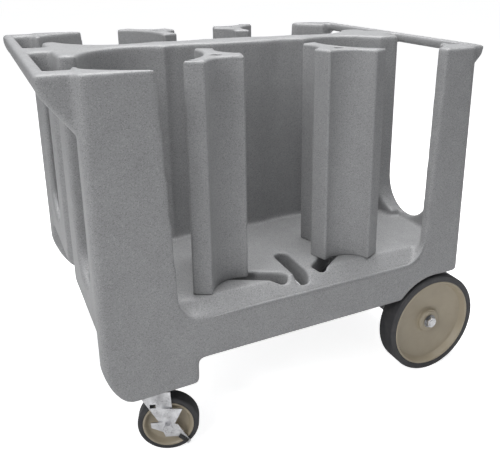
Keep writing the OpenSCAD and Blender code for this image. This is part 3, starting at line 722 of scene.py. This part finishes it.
def caster(name, side):
    """Tread and hub that turn, the fork that swivels and the plate that stays."""
    swivel, wheel, place = "caster_swivel_" + name, "caster_wheel_" + name, axle_place(side)
    tread = rounded(tread_rows(CASTER_R - TREAD_T, CASTER_R, -TREAD_HALF_W, TREAD_HALF_W,
                               EASE, TREAD_EDGE_R), 8)
    ob = piece("caster_tread_" + name + "_v", lathe(tread, place, 128), MATERIALS["tyre"], 40)
    shown(ob, wheel, ("caster_tread_" + name,))
    ob = piece("caster_hub_" + name + "_v", lathe(rounded(caster_hub_rows(), 4), place, 128),
               MATERIALS["hub"], 40)
    shown(ob, wheel, ("caster_hub_" + name,))
    sheet = MATERIALS["sheet"]
    softened("caster_fork_" + name + "_v", "caster_fork_" + name, sheet, FORK_EDGE, swivel)
    softened("caster_top_plate_" + name + "_v", "caster_plate_" + name, sheet, PLATE_EDGE, "body")


for name, side in SIDES:
    caster(name, side)


# Plates under the deck, and the brake lever
def clamp_plate(key):
    """The plate under the deck, with its upright corners rounded off."""
    node = "clamp_plate_" + key
    x, y = TOWERS[key][:2]
    bm = flat_copy(node)
    corners = []
    for e in bm.edges:
        a, b = e.verts[0].co, e.verts[1].co
        upright = math.hypot(a.x - b.x, a.y - b.y) < UPRIGHT
        if upright and math.hypot(a.x - x, a.y - y) > CLAMP_HOLE_CLEAR:
            corners.append(e)
    bmesh.ops.bevel(bm, geom=corners, offset=CLAMP_CORNER_R, segments=5, profile=0.5, affect="EDGES")
    shown(piece(node + "_v", bm, MATERIALS["sheet"], 30), "tower_" + key, (node,))


for key in TOWERS:
    clamp_plate(key)
softened("brake_pedal_v", "brake_pedal", MATERIALS["sheet"], PEDAL_EDGE, "brake_lever")
# The pad: a near-black block on the lever's end, partly rubber, partly painted shade where the lever is
# dark
softened("brake_pad_v", "brake_pad", MATERIALS["pad"], PAD_EDGE, "brake_lever")


# Stage, lights and camera
def floor_material():
    """White paper: lit like any surface, and lifted to white where the camera sees it."""
    mat = bpy.data.materials.new("floor_white")
    mat.use_nodes = True
    nt = mat.node_tree
    paper = nt.nodes["Principled BSDF"]
    paper.inputs["Base Color"].default_value = PAPER
    paper.inputs["Roughness"].default_value = 0.9
    paper.inputs["Emission Color"].default_value = WHITE
    seen = nt.nodes.new("ShaderNodeLightPath")
    lift = nt.nodes.new("ShaderNodeMath")
    lift.operation = "MULTIPLY"
    lift.inputs[1].default_value = 0.85
    nt.links.new(seen.outputs["Is Camera Ray"], lift.inputs[0])
    nt.links.new(lift.outputs[0], paper.inputs["Emission Strength"])
    return mat


def paper_floor():
    """The sheet that the cart stands on, just under its wheels."""
    bm = bmesh.new()
    bmesh.ops.create_grid(bm, x_segments=1, y_segments=1, size=FLOOR_HALF)
    for v in bm.verts:
        v.co.z = FLOOR_Z
    return piece("floor", bm, floor_material(), None)


def studio():
    """A white surround for the camera, and a dim cool one that lights the cart."""
    world = bpy.data.worlds.new("studio")
    bpy.context.scene.world = world
    world.use_nodes = True
    nt = world.node_tree
    nt.nodes.clear()
    out = nt.nodes.new("ShaderNodeOutputWorld")
    soft = nt.nodes.new("ShaderNodeBackground")
    white = nt.nodes.new("ShaderNodeBackground")
    mix = nt.nodes.new("ShaderNodeMixShader")
    path = nt.nodes.new("ShaderNodeLightPath")
    soft.inputs["Color"].default_value = SKY
    soft.inputs["Strength"].default_value = 0.2
    white.inputs["Color"].default_value = WHITE
    white.inputs["Strength"].default_value = 1.0
    nt.links.new(path.outputs["Is Camera Ray"], mix.inputs[0])
    nt.links.new(soft.outputs[0], mix.inputs[1])
    nt.links.new(white.outputs[0], mix.inputs[2])
    nt.links.new(mix.outputs[0], out.inputs["Surface"])


def area_light(name, where, aim, size, watts):
    """A rectangular lamp that points from one place to another."""
    lamp = bpy.data.lights.new(name, "AREA")
    lamp.shape = "RECTANGLE"
    lamp.size, lamp.size_y = size
    lamp.energy = watts
    ob = bpy.data.objects.new(name, lamp)
    coll.objects.link(ob)
    ob.location = where
    ob.rotation_mode = "QUATERNION"
    ob.rotation_quaternion = (Vector(aim) - Vector(where)).to_track_quat("-Z", "Y")


def camera():
    """The camera that took the photograph, with part of its lens shift."""
    cam = bpy.data.cameras.new("camera")
    ob = bpy.data.objects.new("camera", cam)
    coll.objects.link(ob)
    bpy.context.scene.camera = ob
    reach = math.cos(PITCH)
    ahead = Vector((math.sin(YAW) * reach, math.cos(YAW) * reach, -math.sin(PITCH)))
    level = Vector((math.cos(YAW), -math.sin(YAW), 0))
    above = level.cross(ahead)
    right = math.cos(ROLL) * level + math.sin(ROLL) * above
    up = -math.sin(ROLL) * level + math.cos(ROLL) * above
    ob.matrix_world = Matrix.Translation(EYE) @ Matrix((right, up, -ahead)).transposed().to_4x4()
    cam.sensor_width = SENSOR_W
    cam.lens = SENSOR_W * FOCAL / PHOTO_W
    cam.shift_x = -(CENTRE_X - PHOTO_W / 2) / PHOTO_W
    cam.shift_y = -(PHOTO_H / 2 - CENTRE_Y) / PHOTO_W
    cam.clip_start, cam.clip_end = 0.05, 60


paper_floor()
studio()
for name, values in LIGHTS.items():
    area_light(name, *values)
camera()
bpy.context.scene.view_settings.view_transform = "Standard"
